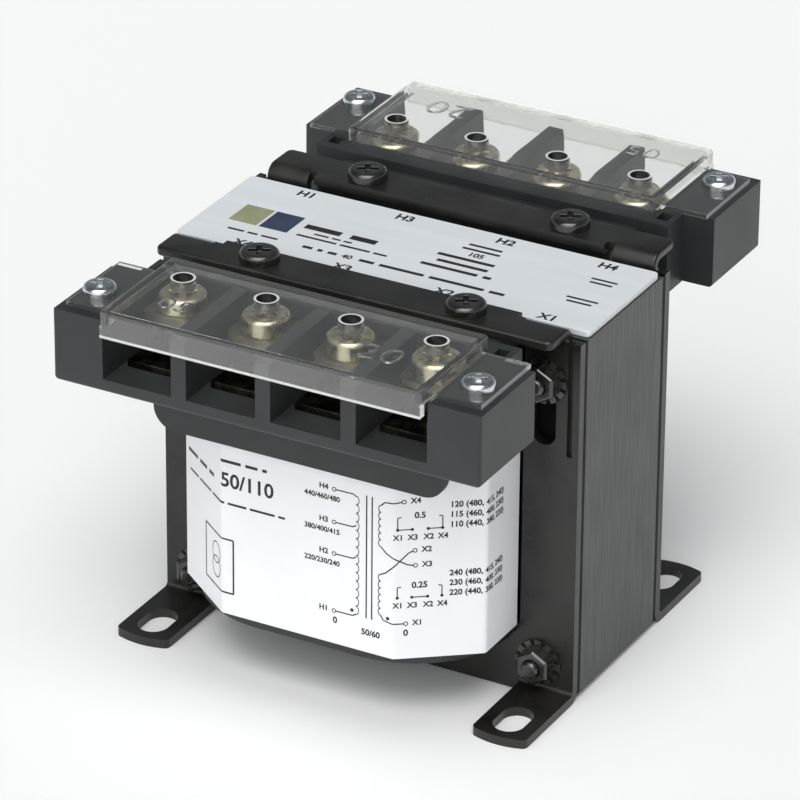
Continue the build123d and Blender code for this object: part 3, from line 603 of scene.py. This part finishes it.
path += [Vector((-p.x, p.y)) for p in reversed(path)]
plan.free()
print("the plan has", len(path), "points")

# %% Distances along the path
along = [0.0]
for a, b in zip(path, path[1:]):
    along.append(along[-1] + (b - a).length)
half_way = along[-1] / 2
along = [s - half_way for s in along]
print("the wrap is", round(2 * half_way, 1), "mm long")


def on_wrap(s, lift):
    """The point of the wrap that is s from the middle of its front, raised off the film by lift."""
    i = max(0, min(len(path) - 2, sum(1 for v in along if v <= s) - 1))
    run = path[i + 1] - path[i]
    spot = path[i] + run * ((s - along[i]) / (along[i + 1] - along[i]))
    return spot + Vector((run.y, -run.x)).normalized() * lift


# %% Lay a flat sheet of print on its surface, and give it thickness
INK = 0.02
print("the ink is", INK, "mm thick")


def printed(sheet, name, finish, turned=0.0, wrapped=False, height=0.0):
    """Makes the print a piece. It lies flat at a height, or goes round the label's folds."""
    if wrapped:
        for s in along[1:-1]:
            bmesh.ops.bisect_plane(sheet, geom=[*sheet.verts, *sheet.edges, *sheet.faces],
                                   plane_co=(s, 0, 0), plane_no=(1, 0, 0))
        for v in sheet.verts:
            spot = on_wrap(v.co.x, INK)
            v.co = Vector((spot.x, spot.y, v.co.y))
    else:
        bmesh.ops.translate(sheet, verts=sheet.verts, vec=(0, 0, height + INK))
    bmesh.ops.scale(sheet, verts=sheet.verts, vec=(MM, MM, MM))
    bmesh.ops.rotate(sheet, verts=sheet.verts, cent=(0, 0, 0),
                     matrix=Matrix.Rotation(turned, 3, "Z"))
    mesh = bpy.data.meshes.new(name)
    sheet.to_mesh(mesh)
    sheet.free()
    mesh.materials.append(finish)
    piece = bpy.data.objects.new(name, mesh)
    bpy.context.scene.collection.objects.link(piece)
    layer = piece.modifiers.new("ink layer", "SOLIDIFY")
    layer.thickness = INK * MM
    layer.offset = -1
    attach(piece, "transformer")
    print(name, len(mesh.polygons), "faces")
    return piece


# %% [markdown]
# ## The wiring diagram
# The wrap carries a plain wiring diagram: a tapped winding on the left, two core lines, two
# windings on the right and tables of numbers. It could be one traced drawing, but strokes, arcs
# and rings from a few measured positions are easier to move. Words are shown as bars. Positions are
# measured along the wrap from the middle of its front, and up from the floor, in millimetres.

# %% Windings and their leads
TAPPED = 9.0  # where the tapped winding stands along the wrap
SECOND = 13.5  # where the two others stand
MARK = 0.95  # the height of a terminal's mark


def winding(sheet, s, top, low, bumps, facing):
    """A column of half rounds between two heights."""
    pitch = (top - low) / bumps
    for i in range(bumps):
        arc(sheet, (s, top - (i + 0.5) * pitch), pitch / 2, -math.pi / 2, facing * math.pi,
            width=0.2, flat=0.7, steps=7)


diagram = bmesh.new()
winding(diagram, TAPPED, 39.9, 18.5, 14, 1)
for mark, height, numbers, bend in (("H4", 40.1, "440/460/480", -0.25),
                                    ("H3", 34.2, "380/400/415", 0.4),
                                    ("H2", 28.5, "220/230/240", 0.4), ("H1", 18.1, "", 0.4)):
    numerals(diagram, mark, (3.1, height + 0.1), MARK)
    ring(diagram, (5.0, height))
    line_through(diagram, (5.4, height), (8.4, height + 0.05), (TAPPED, height + bend))
    numerals(diagram, numbers, (2.8, height - 1.75), 0.9)
numerals(diagram, "0", (5.2, 16.4), 1.1)
dot(diagram, (8.3, 19.1))
for s in (10.9, 11.9):
    stroke(diagram, (s, 40.5), (s, 18.3), 0.24)
print("the tapped winding and the core lines have", len(diagram.faces), "faces")

# %% The two windings on the right
winding(diagram, SECOND, 39.4, 32.0, 6, -1)
winding(diagram, SECOND, 27.0, 19.6, 6, -1)
for mark, spot, lead in (
        ("X4", (17.4, 40.5), ((SECOND, 39.4), (14.2, 40.1), (15.6, 40.25), (17.0, 40.45))),
        ("X2", (19.2, 31.7), ((SECOND, 27.0), (14.4, 27.5), (18.2, 31.3), (18.9, 31.6))),
        ("X3", (19.3, 29.0), ((SECOND, 32.0), (14.4, 31.1), (18.0, 29.2), (18.95, 29.0))),
        ("X1", (17.8, 18.5), ((SECOND, 19.6), (14.0, 18.8), (15.6, 18.5), (17.45, 18.5)))):
    line_through(diagram, *lead)
    ring(diagram, spot)
    numerals(diagram, mark, (spot[0] + 1.9, spot[1] + 0.1), MARK)
dot(diagram, (14.8, 19.3))
numerals(diagram, "0", (17.8, 16.8), 1.1)
print("the windings have", len(diagram.faces), "faces in all")

# %% Jumpers and tables of numbers
spots = (16.4, 18.75, 21.3, 23.6)
for top, low, number, joined in ((37.65, 35.5, "0.5", ((0, 1), (2, 3))),
                                 (25.1, 23.25, "0.25", ((1, 2),))):
    for s in spots:
        dot(diagram, (s, low), 0.27)
    for a, b in joined:
        stroke(diagram, (spots[a], low), (spots[b], low), 0.18)
    for s, inward in ((spots[0], 0.6), (spots[3], -0.6)):
        line_through(diagram, (s, low), (s, top), (s + inward, top + 0.1), width=0.18)
    numerals(diagram, number, (20.0, top + 0.3), 1.05)
    for s, mark in zip(spots, ("X1", "X3", "X2", "X4")):
        numerals(diagram, mark, (s + 0.1, low - 1.45), MARK)
for top, volts in ((39.5, ("120", "115", "110")), (27.2, ("240", "230", "220"))):
    feeds = ("480, 415, 240", "460, 400, 230", "440, 380, 220")
    for i, (volt, feed) in enumerate(zip(volts, feeds)):
        numerals(diagram, f"{volt} ({feed})", (30.4, top - 1.78 * i), 1.0)
print("the diagram with its numbers has", len(diagram.faces), "faces")

# %% Lines of print and the sign
numerals(diagram, "50/60", (11.7, 15.7), 1.05)
numerals(diagram, "50/110", (-11.0, 36.5), 2.5, 0.03)
bars(diagram, (-15.9, 40.0), (-7.3, 40.0), 1.05)
bars(diagram, (-28.6, 32.4), (-4.0, 32.4), 0.8, (6, 8, 7))
bars(diagram, (-29.2, 35.8), (-18.6, 35.8), 1.3, (4, 3, 2))
line_through(diagram, (-22.2, 16.0), (-13.6, 16.0), (-13.6, 25.8), (-22.2, 25.8), (-22.2, 16.0),
             width=0.3)
for height in (19.6, 22.2):
    ring(diagram, (-17.9, height), 1.9, 0.2, 0.8, 24)
printed(diagram, "front_label_print", black_ink, wrapped=True)

# %% [markdown]
# ## The rear wrap
# Nothing of the rear wrap shows from the front, so it has only a few lines of print and a plain
# sign, in the same ink. It could repeat the front's diagram, but nothing shows that the real one
# does. It is drawn in the same way and turned half round.

# %% Rear wrap's print
notes = bmesh.new()
for i, end in enumerate((12, 14, 9, 13, 6)):
    height = 38.5 - 2.2 * i
    bars(notes, (-13.5, height), (end, height), 1.05)
numerals(notes, "50/60", (-10.4, 24.5), 1.6)
line_through(notes, (8.0, 16.0), (14.0, 16.0), (14.0, 24.0), (8.0, 24.0), (8.0, 16.0))
for height in (18.9, 21.1):
    ring(notes, (11.0, height), 1.6, 0.2, 0.8, 24)
printed(notes, "rear_label_print", black_ink, math.pi, wrapped=True)

# %% [markdown]
# ## The nameplate's print
# The plate has the terminals' marks along both long edges, each in line with its terminal. In
# between are lines of print, shown as bars, and two plain colour fields. The marks are real text,
# because they tell the terminals apart. The rest would be too small to read, so bars of the right
# length and height give the same grey to the eye.

# %% Marks and lines on the plate
plate_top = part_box("nameplate")[1].z / MM
marks = bmesh.new()
for row, height in ((("H1", "H3", "H2", "H4"), 10.2), (("X4", "X3", "X2", "X1"), -11.0)):
    for x, mark in zip((-26.0, -7.5, 11.1, 29.7), row):
        numerals(marks, mark, (x, height), 1.9)
for start, end, height, tall, rhythm in (
        (-31.0, -21.7, -7.1, 0.85, WORDS), (-20.2, -7.0, -0.4, 2.3, (4, 4)),
        (-17.5, -10.5, -2.4, 0.75, WORDS), (-19.9, -3.2, -3.9, 0.85, (12, 9)),
        (-16.9, -10.6, -7.3, 1.25, (2, 1)), (-6.4, 21.2, -7.3, 1.25, (3, 9, 11)),
        (6.3, 12.3, 6.7, 0.95, (11,)), (5.9, 12.7, 5.1, 0.95, (11,)),
        (3.4, 14.6, 1.3, 1.3, (11,)), (4.4, 13.6, -0.9, 1.3, (11,)), (2.6, 15.4, -3.1, 1.3, (11,)),
        (29.3, 33.9, 5.2, 0.8, (11,)), (29.6, 33.6, 3.9, 0.8, (11,)),
        (28.8, 34.4, -2.6, 0.8, (11,)), (29.4, 33.8, -3.9, 0.8, (11,))):
    bars(marks, (start, height), (end, height), tall, rhythm, share=0.66)
numerals(marks, "40", (-8.7, -7.3), 1.3)
numerals(marks, "105", (9.3, 3.3), 1.35)
printed(marks, "nameplate_print", black_ink, height=plate_top)

# %% Colour fields on the plate
for name, finish, x in (("nameplate_olive_field", olive_ink, -30.0),
                        ("nameplate_navy_field", navy_ink, -24.3)):
    patch = bmesh.new()
    field(patch, x, -1.0, 5.2, 6.4)
    printed(patch, name, finish, height=plate_top)

# %% [markdown]
# ## Raised numerals on the covers
# The mould left raised strokes in the clear lid. They could be a bump in the plastic, but clear
# plastic shows a bump only where it bends the view. They are text given a thickness, in the same
# clear plastic, so that their edges catch the light.

# %% Numerals in the lids
RING_ABOVE_LID = 0.3
ABOVE_LID = 0.12
THICK = 0.2
lid_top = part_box("front_cover")[1].z / MM - RING_ABOVE_LID
for name, turned in (("front_cover_numerals", 0.0), ("rear_cover_numerals", math.pi)):
    raised = bmesh.new()
    numerals(raised, "20", (17.2, -43.4), 5.0, -0.02, 1.15)
    numerals(raised, "05", (-19.0, -44.2), 3.6, -0.02, 1.2)
    piece = printed(raised, name, clear_plastic, turned, height=lid_top + ABOVE_LID)
    piece.modifiers["ink layer"].thickness = THICK * MM

# %% [markdown]
# ## Floor
# The object stands on a plain pale floor that fills the view, so the floor's own colour is the
# background. A white world could give the same background, but only a floor holds the shadow.

# %% Floor
FLOOR_HALF = 20.0
floor_shape = bmesh.new()
bmesh.ops.create_grid(floor_shape, x_segments=1, y_segments=1, size=FLOOR_HALF)
floor_mesh = bpy.data.meshes.new("floor")
floor_shape.to_mesh(floor_mesh)
floor_shape.free()
floor = bpy.data.objects.new("floor", floor_mesh)
bpy.context.scene.collection.objects.link(floor)
floor_mesh.materials.append(even_finish("matt_white_table", ("#fbfbfa", "#fcfcfb"), (0.8, 0.9), 400,
                                        40, 0.0, IOR=1.3))

# %% [markdown]
# ## Light
# Two wide suns give the soft light of a studio: a low one from the front for the upright faces, and
# a higher one for the tops and the shadow. Area lamps would do too, but a sun lights every part of
# the object alike. The world is pale near the horizon and dim above, so that upright faces mirror
# a bright room and flat tops a dark one.

# %% Lamps
def towards(azimuth, elevation):
    """The direction that an azimuth and an elevation in degrees point to; azimuth 0 is the front."""
    a, e = math.radians(azimuth), math.radians(elevation)
    return Vector((math.sin(a) * math.cos(e), -math.cos(a) * math.cos(e), math.sin(e)))


for name, azimuth, elevation, strength, spread in (("key_lamp", 8, 36, 1.56, 70),
                                                   ("top_lamp", 20, 69, 1.76, 50)):
    lamp = bpy.data.lights.new(name, "SUN")
    lamp.energy = strength
    lamp.angle = math.radians(spread)
    held = bpy.data.objects.new(name, lamp)
    held.rotation_mode = "QUATERNION"
    held.rotation_quaternion = towards(azimuth, elevation).to_track_quat("Z", "Y")
    bpy.context.scene.collection.objects.link(held)
    print(name, "shines with", strength, "from", elevation, "degrees up")

# %% The room
room = bpy.data.worlds.new("studio_room")
bpy.context.scene.world = room
room.use_nodes = True
room.node_tree.nodes.clear()
direction = add(room, "TexCoord").outputs["Generated"]
height = add(room, "SeparateXYZ", {"Vector": direction}).outputs["Z"]
upward = add(room, "MapRange", {"Value": height, "From Min": 0.1, "From Max": 0.5}).outputs[0]
tone = add(room, "Mix", {0: upward, 6: linear("#b4b9bf"), 7: linear("#626466")}, data_type="RGBA")
glow = add(room, "Background", {"Color": tone.outputs[2], "Strength": 1.0}).outputs[0]
add(room, "OutputWorld", {"Surface": glow})
print("the room has", len(room.node_tree.nodes), "nodes")

# %% [markdown]
# ## Camera
# The camera looks from where the photograph was taken, through a long lens that keeps upright edges
# nearly parallel. It could be aimed with a constraint, but its place, direction and small roll were
# measured, so they are written as a matrix of its own three axes.

# %% Camera at the photograph's place
AZIMUTH, ELEVATION, ROLL = 28.44, 27.0, 0.47
camera = bpy.data.cameras.new("camera")
camera.lens = 259.565
camera.sensor_width = 36
camera.clip_end = 100
eye = bpy.data.objects.new("camera", camera)
bpy.context.scene.collection.objects.link(eye)
back_axis = towards(AZIMUTH, ELEVATION)
right_axis = Vector((math.cos(math.radians(AZIMUTH)), math.sin(math.radians(AZIMUTH)), 0))
up_axis = back_axis.cross(right_axis)
roll = math.radians(ROLL)
right_rolled = math.cos(roll) * right_axis + math.sin(roll) * up_axis
up_rolled = -math.sin(roll) * right_axis + math.cos(roll) * up_axis
eye.matrix_world = Matrix.Translation((0.39899, -0.7416, 0.46789)) @ Matrix(
    (right_rolled, up_rolled, back_axis)).transposed().to_4x4()
bpy.context.scene.camera = eye
bpy.context.scene.view_settings.view_transform = "Standard"
print("the camera is", round(eye.matrix_world.translation.length, 2), "m from the part's origin")
